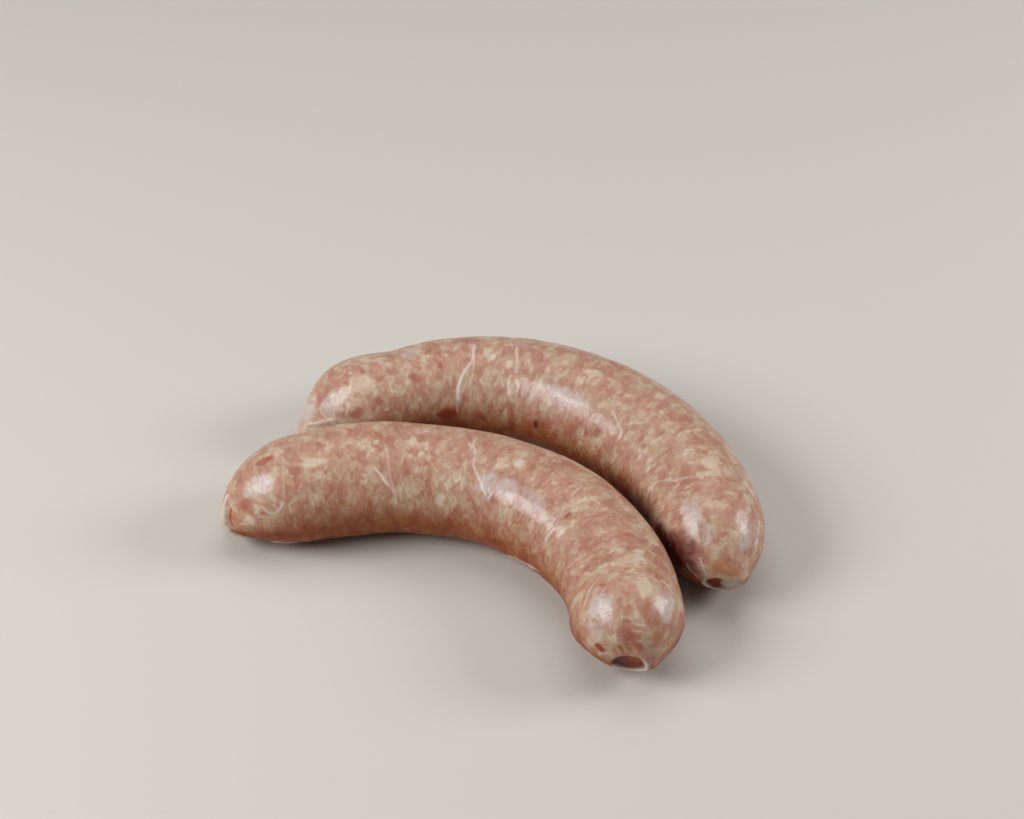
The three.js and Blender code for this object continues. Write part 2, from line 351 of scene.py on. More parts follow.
# %% List the patches
# Each patch: (mask, strength, along, around, half its length, half its width).
FRONT_PATCHES = (
    ("fat", 1.0, 7.8, 58, 0.9, 1.9),
    ("fat", 0.8, 28.8, 22, 4.5, 1.2),
    ("fat", 0.8, 57.6, 3, 1.3, 2.0),
    ("fat", 0.6, 59.7, 35, 1.2, 1.6),
    ("fat", 0.9, 69.2, 64, 1.6, 2.1),
    ("fat", 0.8, 76.2, 111, 0.6, 0.7),
    ("fat", 0.9, 90.8, 5, 1.8, 1.5),
    ("fat", 0.7, 149.5, -14, 2.4, 2.0),
    ("fat", 1.0, 159.3, 16, 1.4, 0.7),
    ("brown_and_shade", 0.35, 4.0, 42, 1.3, 3.0),
    # Painted shade: this brown patch darkens the lower side of the tip.
    ("brown_and_shade", 0.5, 13.5, 103, 6.0, 3.2),
    ("lean", 0.9, 17.2, -2, 2.2, 1.4),
    ("lean", 0.6, 9, 32, 2.2, 1.4),
    ("brown_and_shade", 0.5, 35.2, 68, 1.3, 1.2),
    ("brown_and_shade", 0.5, 44.4, 73, 1.3, 2.0),
    ("lean", 1.0, 115.6, 27, 0.8, 1.4),
    ("lean", 0.7, 158.6, 2, 1.6, 3.0),
    ("lean", 0.9, 160.2, -17, 0.9, 1.4),
    ("brown_and_shade", 0.9, 160.3, 58, 1.0, 1.2),
    ("brown_and_shade", 0.4, 156.9, -43, 1.9, 2.4),
    ("brown_and_shade", 0.4, 153.7, -18, 2.0, 1.0),
    ("brown_and_shade", 0.4, 160.6, 0, 1.0, 4.0),
    # Pearly patches: loose casing, laid where the highlights fall, so they are also painted
    # highlight.
    ("pearl_and_glint", 0.7, 14, 22, 3.4, 3.0),
    ("pearl_and_glint", 0.9, 84.6, 38, 3.4, 3.4),
    ("pearl_and_glint", 0.75, 92, 37, 4.5, 3.0),
    ("pearl_and_glint", 0.55, 102.5, 38, 6.5, 3.4),
    ("pearl_and_glint", 0.9, 152.6, 33, 3.2, 4.2),
    ("pearl_and_glint", 0.6, 157.2, 50, 2.0, 3.2),
    ("pearl_and_glint", 0.9, 152.4, -43, 3.2, 2.2),
)
REAR_PATCHES = (
    ("fat", 0.6, 24, 24, 2.4, 3.0),
    ("fat", 0.9, 65.8, 13, 1.4, 1.6),
    ("fat", 0.6, 67.7, 31, 1.2, 0.8),
    ("fat", 0.9, 72.1, 21, 1.3, 1.4),
    ("fat", 0.6, 99, 4, 3.0, 1.6),
    ("fat", 0.7, 148, -8, 2.6, 2.0),
    ("lean", 0.8, 19.8, 56, 2.2, 1.4),
    ("lean", 0.7, 26, 54, 1.2, 1.4),
    ("lean", 0.8, 38.6, 33, 2.4, 1.6),
    ("lean", 0.9, 48.6, 21, 0.8, 1.6),
    ("brown_and_shade", 0.8, 49.5, 82, 3.5, 2.6),
    ("bruise", 0.9, 86.9, 82, 1.1, 1.5),
    ("brown_and_shade", 0.4, 175.2, -10, 1.3, 5.5),
    ("bruise", 0.4, 112.4, 57, 1.2, 1.6),
    ("bruise", 0.75, 170.3, 50, 3.6, 4.8),
    ("bruise", 0.8, 173.4, 60, 2.2, 3.4),
    ("bruise", 0.35, 168.6, 19, 2.6, 1.2),
    # The two largest dark red patches lie on the side of the rear end that faces the front link.
    ("bruise", 1.0, 168.6, 78, 6.0, 5.0),
    ("bruise", 0.8, 162.5, 80, 5.0, 3.6),
    # Pearly patches: loose casing, laid where the highlights fall, so they are also painted
    # highlight.
    ("pearl_and_glint", 0.8, 9.5, -20, 3.5, 4.0),
    ("pearl_and_glint", 0.8, 16, 24, 3.2, 2.8),
    ("pearl_and_glint", 0.5, 39, -6, 3.0, 3.0),
    ("pearl_and_glint", 0.8, 95, 39, 9.0, 2.4),
    ("pearl_and_glint", 0.8, 163.6, 29, 4.2, 2.6),
    ("pearl_and_glint", 0.7, 169.2, 14, 2.4, 1.4),
    ("pearl_and_glint", 0.7, 168.8, -38, 3.4, 2.4),
)
MASKS = ("thread", "casing", "pearl_and_glint", "fat", "lean", "brown_and_shade", "bruise", "under", "dull")
print(len(FRONT_LINES) + len(REAR_LINES), "lines,",
      len(FRONT_PATCHES) + len(REAR_PATCHES), "patches")


# %% Turn marks into masks
LINE_STEP = 0.25        # mm between neighbouring points of a line
FEWEST_POINTS = 8       # on a line
WAVER = (0.2, 2.2)      # mm that a line wavers to each side, and how many mm apart
SWELL = (0.5, 3.0)      # share of its width that a line swells, and how many mm apart
MEAN_WIDTH = 0.75       # share of its width that a line has on the whole
WIDTH_LIMITS = (0.5, 1.4)
LINE_WHOLE = (0.12, 0.85)       # shares of its length between which a line is at full strength
LINE_END = 0.3          # how strong a line still is at its ends
BAND_WHOLE = (0.4, 0.6)         # shares of its length between which a band is at full width
BAND_END = 0.25         # how wide a band still is at its ends
BAND_EDGE = (1.1, 0.45)         # shares of its width outside and inside the soft edge of a band
PATCH_INSIDE = 0.55     # a patch is full inside this share of its size, and gone outside the next
PATCH_OUTSIDE = 1.35
PATCH_RAGGED = (0.35, 1.6)      # share of a patch's size that its edge wanders, and mm apart
LEAST_RADIUS = 3        # mm from the axis, nearer to which patches no longer widen


def skin_line(link, rows, places):
    """Points in mm along a smooth line through places on the smooth skin."""
    places = np.array(places, float)
    radius = link["radius"] * math.radians(1)
    length = np.linalg.norm(np.diff(places * (1, radius), axis=0), axis=1).sum()
    along, around = through(places, np.linspace(0, 1, max(int(length / LINE_STEP), FEWEST_POINTS))).T
    return bend(link, along, np.interp(along, *rows), np.radians(around))


def line_mask(base, line, width, flat, seed):
    """How near each point of a skin is to a line, from 0 to 1. A flat line is a tapered band."""
    line = line + np.stack([uneven(line, WAVER, seed + k) for k in range(3)], 1)
    near = ((base > line.min(0) - 3 * width) & (base < line.max(0) + 3 * width)).all(-1)
    distances = np.linalg.norm(base[near][:, None] - line[None], axis=2)
    away, nearest = distances.min(1), distances.argmin(1)
    share = nearest / (len(line) - 1)
    first, final = BAND_WHOLE if flat else LINE_WHOLE
    whole = smooth_step(0, first, share) * smooth_step(1, final, share)
    mask = np.zeros(base.shape[:-1])
    if flat:
        half_width = width * (BAND_END + (1 - BAND_END) * whole)
        mask[near] = smooth_step(*BAND_EDGE, away / half_width)
    else:
        thickness = (MEAN_WIDTH + uneven(line, SWELL, seed + 3)[nearest]).clip(*WIDTH_LIMITS)
        mask[near] = np.exp(-((away / (width * thickness)) ** 2))
        mask[near] *= LINE_END + (1 - LINE_END) * whole
    return mask


def patch_mask(skin, patch, seed):
    """A soft-edged uneven patch, from 0 to 1."""
    _, strength, at_along, at_around, half_length, half_width = patch
    turn = (skin["around"] - math.radians(at_around) + math.pi) % (2 * math.pi) - math.pi
    lengthwise = (skin["along"] - at_along) / half_length
    crosswise = turn * np.maximum(skin["outward"], LEAST_RADIUS) / half_width
    edge = uneven(skin["place"], PATCH_RAGGED, seed)
    away = np.hypot(lengthwise, crosswise) + edge
    return strength * smooth_step(PATCH_OUTSIDE, PATCH_INSIDE, away)


print("masks:", ", ".join(MASKS))

# %% [markdown]
# ## The skin of one link
# A displace modifier could raise the skin, but it would need a picture for every mark. The relief
# is added here instead, along the straight skin's own normal before the skin is bent: broad
# unevenness, the lumps of the grind, and the marks, whose masks also give the colours.

# %% Make a mesh
def add_mesh(name, points, faces, attributes):
    """A smooth-shaded object from points in mm, with values and vectors kept on its points."""
    mesh = bpy.data.meshes.new(name)
    mesh.from_pydata((points * MM).tolist(), [], faces)
    for key, values in attributes.items():
        if values.ndim == 1:
            mesh.attributes.new(key, "FLOAT", "POINT").data.foreach_set("value", values)
        else:
            layer = mesh.attributes.new(key, "FLOAT_VECTOR", "POINT")
            layer.data.foreach_set("vector", values.ravel())
    mesh.polygons.foreach_set("use_smooth", [True] * len(mesh.polygons))
    mesh.update()
    piece = bpy.data.objects.new(name, mesh)
    scene.collection.objects.link(piece)
    return piece


def grid_faces(rows, columns):
    """Quads between rows of points, each row closed on itself."""
    i, j = np.meshgrid(np.arange(rows - 1), np.arange(columns), indexing="ij")
    k = (j + 1) % columns
    corners = (i * columns + j, i * columns + k, (i + 1) * columns + k, (i + 1) * columns + j)
    return np.stack(corners, -1).reshape(-1, 4).tolist()


# %% Lay out the straight skin
def straight_skin(link):
    """Where the points of a straight skin lie, and which way out of the skin is there."""
    row_along, row_out, foot = outline(link)
    columns = round(2 * math.pi * link["radius"] / GRID)
    shape = (len(row_along), columns)
    around = np.broadcast_to(math.pi + 2 * math.pi * np.arange(columns) / columns, shape)
    around = (around + math.pi) % (2 * math.pi) - math.pi
    along = np.repeat(row_along[:, None], columns, 1)
    outward = np.repeat(row_out[:, None], columns, 1)
    rise_out = np.gradient(row_out)
    rise_along = np.gradient(row_along)
    steep = np.hypot(rise_out, rise_along)
    return dict(
        along=along, outward=outward, around=around, foot=foot,
        place=np.stack([along, outward * np.sin(around), outward * np.cos(around)], -1),
        normal_along=np.repeat((-rise_out / steep)[:, None], columns, 1),
        normal_out=np.repeat((rise_along / steep)[:, None], columns, 1),
        body_rows=(row_along[row_along <= foot], row_out[row_along <= foot]))


print("points of the front skin:", straight_skin(FRONT)["along"].size)

# %% Raise the meat and the marks
STRETCH = 1.4           # lumps are this much shorter along the link than around it
BROAD_LUMPS = (0.30, 13)        # height and size in mm, as of all lumps here
MEAT_LUMPS = ((0.10, 4.2), (0.045, 1.7))
FAT_HEIGHT = 0.07       # mm that a single lump of fat stands out
PEARL_CRACKLE = (0.05, 0.9)


def raise_marks(link, skin, lines, patches, seed):
    """Relief in mm, and masks from 0 to 1, for the meat and the marks of one link."""
    place = skin["place"]
    grain = place * (STRETCH, 1, 1)
    base = bend(link, skin["along"], skin["outward"], skin["around"])
    masks = {key: np.zeros(place.shape[:-1]) for key in MASKS}
    relief = uneven(place, BROAD_LUMPS, seed)
    for n, lump in enumerate(MEAT_LUMPS):
        relief += uneven(grain, lump, seed + 1 + n)
    for n, (key, width, lift, strength, places) in enumerate(lines):
        line = skin_line(link, skin["body_rows"], places)
        mask = line_mask(base, line, width, key == "casing", seed + 10 * n)
        masks[key] = np.maximum(masks[key], strength * mask)
        relief += lift * mask
    for n, patch in enumerate(patches):
        mask = patch_mask(skin, patch, seed + 7 * n)
        masks[patch[0]] = np.maximum(masks[patch[0]], mask)
        if patch[0] == "fat":
            relief += FAT_HEIGHT * mask
    height, size = PEARL_CRACKLE
    relief += height * masks["pearl_and_glint"] * lumps(place, size, seed + 3)
    return relief, masks


# %% [markdown]
# ## Gathered ends
# Where a casing is drawn together it falls in pleats: spiral ones into the twist, straight ones
# into the collar. Beyond the collar's pleats its rim is an uneven lip round a dish of lumpy meat.
# Loose strips of casing could be pieces of their own. They are thinner than the points of the
# skin are apart, so a membrane and a thread on the skin itself stand for them.

# %% Pleat the ends
TIP_REACH = 8           # mm over which the pleats at a tip fade out
TIP_PLEATS = 11
TIP_PLEAT_HEIGHT = 0.22
TIP_PLEAT_SHARE = 0.06  # of the distance from the axis, and a pleat is never higher
TIP_TURN = 0.5          # radians that a pleat at a tip turns in a mm
TIP_WANDER = (2.2, 5)   # radians that pleats wander, and how many mm apart
COLLAR_REACH = 3.5      # mm over which the pleats at a collar fade out
COLLAR_PLEATS = 17
COLLAR_PLEAT_HEIGHT = 0.12
COLLAR_WANDER = (2.6, 4)


def pleat_ends(link, skin, relief, seed):
    """Pleats run into the twist at a frilled tip, and into the collar at the blunt end."""
    along, outward, around, place = (skin[k] for k in ("along", "outward", "around", "place"))
    to_tip = link["tip"]["frilled"] * np.exp(-((along / TIP_REACH) ** 2))
    swirl = TIP_PLEATS * around + TIP_TURN * along + uneven(place, TIP_WANDER, seed + 4)
    height = np.minimum(TIP_PLEAT_HEIGHT, TIP_PLEAT_SHARE * outward)
    relief += height * to_tip * np.cos(swirl)
    to_collar = np.exp(-(((along - skin["foot"]) / COLLAR_REACH) ** 2))
    to_collar = to_collar * (outward > COLLAR_RADIUS)
    gather = COLLAR_PLEATS * around + uneven(place, COLLAR_WANDER, seed + 5)
    relief += COLLAR_PLEAT_HEIGHT * to_collar * np.cos(gather)
    return to_tip


print("pleats round a tip:", TIP_PLEATS, "and round a collar:", COLLAR_PLEATS)

# %% Shape the collar
LIP_WIDTH = 0.6         # mm
LIP_HEIGHT = 0.15       # mm
LIP_LUMPS = (0.25, 2.4)
BARE_DROP = 0.5         # mm that the lip is missing where it is bare
BARE_FADE = (0, 0.35)   # cosines of the angle to the bare side's middle, between which it fades
DISH_LUMPS = (0.45, 2.2)
DISH_BROWN = 0.8
BRUISE_SIDE = (-1.0, 3.0)       # mm sideways, where a bruised dish starts and is darkest
EDGE_PALE = 0.8
COLLAR_DEPTH = 1.2      # mm below its foot that the collar reaches
EDGE_WIDTH = 0.3        # mm of the pale edge along the lip
CREST_POINT = 3         # which point of a rim is its crest


def shape_collar(link, skin, masks, relief, seed):
    """The uneven lip of the collar and its lumpy dish. Behind a bare part there is no lip."""
    collar, outward, around, place = link["collar"], skin["outward"], skin["around"], skin["place"]
    crest = COLLAR_RADIUS - link["rim"][CREST_POINT][0]
    in_collar = (skin["along"] > skin["foot"] - COLLAR_DEPTH) & (outward < COLLAR_RADIUS + 0.2)
    toward_bare = np.cos(around - math.radians(collar["bare_at"]))
    uncovered = collar["bare"] * smooth_step(*BARE_FADE, toward_bare)
    lip = in_collar * np.exp(-(((outward - crest) / LIP_WIDTH) ** 2))
    dish = in_collar * smooth_step(crest, crest - LIP_WIDTH, outward)
    sideways = outward * np.sin(around)
    relief += lip * (uneven(place, LIP_LUMPS, seed + 6) + LIP_HEIGHT - BARE_DROP * uncovered)
    relief += dish * uneven(place, DISH_LUMPS, seed + 8)
    masks["brown_and_shade"] = np.maximum(masks["brown_and_shade"], DISH_BROWN * dish)
    bruised = collar["bruised"] * dish * smooth_step(*BRUISE_SIDE, sideways)
    masks["bruise"] = np.maximum(masks["bruise"], bruised)
    edge = in_collar * np.exp(-(((outward - crest) / EDGE_WIDTH) ** 2)) * (1 - uncovered)
    masks["thread"] = np.maximum(masks["thread"], EDGE_PALE * edge)
    return lip * (1 - uncovered), dish


print("the front rim stands out", FRONT["rim"][CREST_POINT][1], "mm")

# %% Tear and move the collar
COLLAR_FADE = (COLLAR_RADIUS + 5, COLLAR_RADIUS - 1)    # mm out, where its move fades in
LEAST_LEAN = -0.3       # the lower edge leans the other way, but only this much
TEAR_LUMPS = (0.9, 1.8)
TEAR_FADE = (0.8, -1.6)         # mm sideways, where the membrane begins and is whole
MEMBRANE_PALE = 0.85
STRAND_PALE = 0.7


def tear_skin(link, skin, masks, dish, seed):
    """What a torn collar keeps of its skin: a membrane over one side, with a thread for edge."""
    sideways = skin["outward"] * np.sin(skin["around"])
    torn = sideways + uneven(skin["place"], TEAR_LUMPS, seed + 12)
    membrane = link["collar"]["torn"] * dish * smooth_step(*TEAR_FADE, torn)
    strand = link["collar"]["torn"] * dish * np.exp(-((torn / EDGE_WIDTH) ** 2))
    pale = np.maximum(STRAND_PALE * strand, MEMBRANE_PALE * membrane)
    masks["thread"] = np.maximum(masks["thread"], pale)
    return membrane


def place_collar(link, skin, relief):
    """Raise the skin by its relief, move its collar aside and lean the collar's upper edge."""
    collar, outward, around = link["collar"], skin["outward"], skin["around"]
    near_collar = skin["along"] > skin["foot"] - link["end"]["reach"] / 2
    near_collar = near_collar * smooth_step(*COLLAR_FADE, outward)
    above = np.maximum(np.cos(around), LEAST_LEAN)
    lean = collar["lean"] * near_collar * above * outward / COLLAR_RADIUS
    along = skin["along"] + relief * skin["normal_along"] - lean
    outward = np.maximum(outward + relief * skin["normal_out"], 0)
    right = outward * np.sin(around) + collar["aside"] * near_collar
    upward = outward * np.cos(around)
    return along, np.hypot(right, upward), np.arctan2(right, upward)


print("collars are moved aside by", FRONT["collar"]["aside"], "and", REAR["collar"]["aside"], "mm")

# %% [markdown]
# ## Both links
# A link is bent only when all its relief is on it. What would go under the floor is pressed flat,
# because a soft link lies on a flat. The masks are kept on the points, where the finishes read
# them. `under` is painted shade, with a warm bounce tint, on the flanks that face down, and
# `dull` is where no milky veil lies, which takes in that painted shade.

# %% Build the links
# Painted shade: flanks that face down are darkened and warmed, as by shade and light bounced from
# below. The fade says where this painted shade starts and is full.
FLANK_SHADE_FADE = (0.55, -0.25)      # how far up a flank faces, where its deeper colour starts and is full
FLANK_SHADE_LUMPS = (0.12, 6)
PLEAT_CASING = 0.7      # how much of the casing's colour shows on the pleats
MEMBRANE_CASING = 0.75
# The shares of the masks that take away the veil; the painted flank shade is one of them.
DULL_SHARES = dict(under=0.9, bruise=1.0, brown_and_shade=0.9, lean=0.7)


def closed(grid):
    """The inner rows of a grid in one list, then the middles of its first and last rows."""
    inner = grid[1:-1].reshape(-1, *grid.shape[2:])
    ends = np.stack([grid[0].mean(0), grid[-1].mean(0)])
    return np.concatenate([inner, ends])


def closed_faces(rows, columns):
    """Faces for a closed grid: quads between its inner rows, and a fan of triangles at each end."""
    faces = grid_faces(rows - 2, columns)
    first = (rows - 2) * columns
    final = first + 1
    last_row = (rows - 3) * columns
    for j in range(columns):
        k = (j + 1) % columns
        faces.append((first, k, j))
        faces.append((final, last_row + j, last_row + k))
    return faces


def link_skin(name, link, lines, patches, seed):
    """One link as a closed mesh with its masks."""
    skin = straight_skin(link)
    around, place = skin["around"], skin["place"]
    relief, masks = raise_marks(link, skin, lines, patches, seed)
    to_tip = pleat_ends(link, skin, relief, seed)
    lip, dish = shape_collar(link, skin, masks, relief, seed)
    facing_up = np.cos(around) + uneven(place, FLANK_SHADE_LUMPS, seed + 9)
    # Painted shade: the flanks that face down are marked for a darker, warmer colour.
    masks["under"] = smooth_step(*FLANK_SHADE_FADE, facing_up)
    membrane = tear_skin(link, skin, masks, dish, seed)
    masks["casing"] = np.maximum.reduce([masks["casing"], lip, PLEAT_CASING * to_tip,
                                         MEMBRANE_CASING * membrane])
    dull = [share * masks[key] for key, share in DULL_SHARES.items()]
    masks["dull"] = np.maximum.reduce([dish, *dull])
    points = bend(link, *place_collar(link, skin, relief))
    points[..., 2] = np.maximum(points[..., 2], 0)
    faces = closed_faces(*around.shape)
    values = {key: closed(mask) for key, mask in masks.items()}
    piece = add_mesh(name, closed(points), faces, {**values, "place": closed(place)})
    print(name, len(piece.data.vertices), "points,", 2 * len(faces), "triangles at most")
    return piece


front_link = link_skin("front_link", FRONT, FRONT_LINES, FRONT_PATCHES, seed=11)
rear_link = link_skin("rear_link", REAR, REAR_LINES, REAR_PATCHES, seed=57)

# %% [markdown]
# ## The twist
# Between links a butcher spins the casing into a short rope. It could be two wires wound round
# each other, but real twisted casing is one flattened tube with spiral pleats, so it is a single
# tube whose section has lobes that turn as it goes.

# %% Build the twist
TWIST_ROWS = 300
TWIST_COLUMNS = 48
TWIST_LUMPS = (0.12, 1.5)
FINE_WANDER = (2, 4)    # radians that the fine pleats wander, and how many mm apart
# Painted shade: the folds between the lobes of the twist are darkened by their depth.
FOLD_SHADE = 4          # how dark a fold is for each mm of its depth


def twist_rope(name, seed):
    """The rope of casing along its route, with fine pleats between its lobes."""
    share = np.linspace(0, 1, TWIST_ROWS)
    route = through(TWIST_ROUTE, share)
    ahead = unit(np.gradient(route, axis=0))
    left = unit(np.stack([-ahead[:, 1], ahead[:, 0], np.zeros(TWIST_ROWS)], 1))
    up = np.cross(ahead, left)
    angle = np.broadcast_to(2 * math.pi * np.arange(TWIST_COLUMNS) / TWIST_COLUMNS,
                            (TWIST_ROWS, TWIST_COLUMNS))
    turned = angle - 2 * math.pi * TWIST["turns"] * share[:, None]
    length = np.linalg.norm(np.diff(route, axis=0), axis=1).sum()
    place = np.stack([np.repeat(share[:, None] * length, TWIST_COLUMNS, 1),
                      TWIST["radius"] * np.cos(angle), TWIST["radius"] * np.sin(angle)], -1)
    lobes = TWIST["pleat"] * np.cos(TWIST["pleats"] * turned)
    wander = uneven(place, FINE_WANDER, seed)
    fine = TWIST["fine"] * np.cos(TWIST["fine_pleats"] * turned + wander)
    swell = 1 + TWIST["flare"] * np.abs(2 * share[:, None] - 1) ** 4
    radius = (TWIST["radius"] + lobes + fine + uneven(place, TWIST_LUMPS, seed + 1)) * swell
    sideways = (radius * np.cos(angle))[..., None] * left[:, None]
    upward = (radius * np.sin(angle))[..., None] * up[:, None]
    points = route[:, None] + sideways + upward
    points[..., 2] = np.maximum(points[..., 2], 0)
    faces = grid_faces(TWIST_ROWS, TWIST_COLUMNS)
    faces.append(tuple(reversed(range(TWIST_COLUMNS))))
    faces.append(tuple(range((TWIST_ROWS - 1) * TWIST_COLUMNS, TWIST_ROWS * TWIST_COLUMNS)))
    # Painted shade in the folds, from how deep each fold is.
    painted_fold_shade = np.maximum(-lobes, 0).ravel() * FOLD_SHADE
    print(name, f"is {length:.1f} mm of rope")
    return add_mesh(name, points.reshape(-1, 3), faces,
                    {"place": place.reshape(-1, 3), "painted_fold_shade": painted_fold_shade})


twist = twist_rope("twist", seed=5)

# %% [markdown]
# ## Finishes
# Ground meat under a wet casing has three layers to look at: the mottled mix of lean and fat, the
# milky veil and threads of the casing over it, and the wet gloss on top. Pictures wrapped on the
# mesh would fix them to one sausage. Node groups make each layer from the place of a point on
# the straight link instead, so the same groups serve the links and the twist.

# %% Helpers for nodes
def feed(tree, node, inputs):
    """Give inputs of a node a value, or another node's output to link from."""
    for key, value in inputs.items():
        if isinstance(value, bpy.types.NodeSocket):
            tree.links.new(value, node.inputs[key])
        else:
            node.inputs[key].default_value = value


def add_node(tree, kind, inputs, **settings):
    """A new node of a kind, with its settings and inputs."""
    made = tree.nodes.new(kind)
    for key, value in settings.items():
        setattr(made, key, value)
    feed(tree, made, inputs)
    return made


def new_group(name, inputs, outputs):
    """An empty shader node group with named sockets, and its input and output nodes."""
    group = bpy.data.node_groups.new(name, "ShaderNodeTree")
    for label, kind, value in inputs:
        socket = group.interface.new_socket(label, in_out="INPUT", socket_type=kind)
        if value is not None:
            socket.default_value = value
    for label, kind in outputs:
        group.interface.new_socket(label, in_out="OUTPUT", socket_type=kind)
    return group, group.nodes.new("NodeGroupInput"), group.nodes.new("NodeGroupOutput")


def use_group(tree, group, inputs):
    """A node in this material that runs a node group."""
    made = tree.nodes.new("ShaderNodeGroup")
    made.node_tree = group
    feed(tree, made, inputs)
    return made


def math_node(tree, operation, first, second, clamp=False):
    """The result of one operation on two values, as a socket. A clamp keeps it from 0 to 1."""
    made = add_node(tree, "ShaderNodeMath", {0: first, 1: second}, operation=operation)
    made.use_clamp = clamp
    return made.outputs[0]


def mixed(tree, factor, first, second, blend="MIX"):
    """Colour first, turning to its blend with second as factor goes from 0 to 1."""
    made = tree.nodes.new("ShaderNodeMix")
    made.data_type = "RGBA"
    made.blend_type = blend
    feed(tree, made, {0: factor, 6: first, 7: second})
    return made.outputs[2]


def noise(tree, vector, scale, detail=2.0, roughness=0.5):
    """Soft noise over a vector, as a socket. Its values are around a half."""
    made = add_node(tree, "ShaderNodeTexNoise", {
        "Vector": vector, "Scale": scale, "Detail": detail, "Roughness": roughness})
    return made.outputs["Fac"]


def masks_of(tree, *names):
    """The values kept on the points of a mesh, as sockets."""
    return [add_node(tree, "ShaderNodeAttribute", {}, attribute_name=name).outputs["Fac"]
            for name in names]


def place_of(tree):
    """Where a point is on the straight link, in mm."""
    return add_node(tree, "ShaderNodeAttribute", {}, attribute_name="place").outputs["Vector"]


# %% Ground meat
SWIRL_SCALE = 0.4       # turns of the swirl in a mm
SWIRL_PUSH = 5.0        # mm
CELL_SCALES = (0.30, 0.62)      # coarse and small lumps in a mm
CELL_SMOOTHNESS = 0.8
BROAD_SCALE = 0.12
FINE_SCALE = 0.9
FIBRE_SCALE = (2.0, 0.4, 0.4)
MEAT_SHARES = dict(coarse=0.28, small=0.18, broad=0.14, fine=0.26, fibres=0.14)


def ground_meat_group():
    """A value from 0, deep lean, to 1, white fat, in soft lumps drawn out around the link."""
    group, given, result = new_group(
        "Ground meat",
        [("Place", "NodeSocketVector", None), ("Offset", "NodeSocketVector", (0, 0, 0))],
        [("Fat", "NodeSocketFloat"), ("Grain", "NodeSocketFloat"), ("Warmth", "NodeSocketFloat")])
    drawn = add_node(group, "ShaderNodeMapping", {
        "Vector": given.outputs["Place"], "Location": given.outputs["Offset"],
        "Scale": (STRETCH, 1, 1)}).outputs[0]
    swirl = add_node(group, "ShaderNodeTexNoise",
                     {"Vector": drawn, "Scale": SWIRL_SCALE, "Detail": 3.0})
    push = add_node(group, "ShaderNodeVectorMath", {0: swirl.outputs["Color"], 1: (0.5, 0.5, 0.5)},
                    operation="SUBTRACT").outputs[0]
    pushed = add_node(group, "ShaderNodeVectorMath", {0: push, 1: (SWIRL_PUSH,) * 3, 2: drawn},
                      operation="MULTIPLY_ADD").outputs[0]
    values = {}
    for label, scale in zip(("coarse", "small"), CELL_SCALES):
        cells = add_node(group, "ShaderNodeTexVoronoi", {"Vector": pushed, "Scale": scale},
                         feature="SMOOTH_F1")
        cells.inputs["Smoothness"].default_value = CELL_SMOOTHNESS
        split = add_node(group, "ShaderNodeSeparateColor", {"Color": cells.outputs["Color"]})
        values[label] = split.outputs[0]
    values["broad"] = noise(group, drawn, BROAD_SCALE, 2.0)
    fine = noise(group, pushed, FINE_SCALE, 3.0, 0.55)
    values["fine"] = fine
    fibres = add_node(group, "ShaderNodeMapping", {"Vector": pushed, "Scale": FIBRE_SCALE})
    values["fibres"] = noise(group, fibres.outputs[0], 1.0, 2.0)
    total = 0.0
    for label, value in values.items():
        made = add_node(group, "ShaderNodeMath", {0: value, 1: MEAT_SHARES[label], 2: total},
                        operation="MULTIPLY_ADD")
        total = made.outputs[0]
    group.links.new(total, result.inputs["Fat"])
    group.links.new(fine, result.inputs["Grain"])
    group.links.new(split.outputs[1], result.inputs["Warmth"])
    return group


# %% Wet casing
STRAND_SCALE = (2.4, 0.7, 0.7)
CLOUD_SCALE = 0.22
CRACK_SCALE = 0.9
CLOUDS = 0.22           # how far the milkiness varies from place to place
LEAST_ROUGHNESS = 0.32
MOST_ROUGHNESS = 0.56
PEARL_ROUGHNESS = 0.08  # what a pearly place adds to the roughness
CRACK_SHARPNESS = 5.0
CRACK_HEIGHT = 0.8      # as a share of the strands' height
# In pearly places the strands whiten the veil; where those places lie on the highlights this is
# painted highlight.
FLECK_GAIN = 1.3        # how white the strands are in a pearly place
FLECK_FLOOR = -0.15
WET_GAIN = 1.1
WET_LOSS = 0.2
PEARL_WET = 0.12


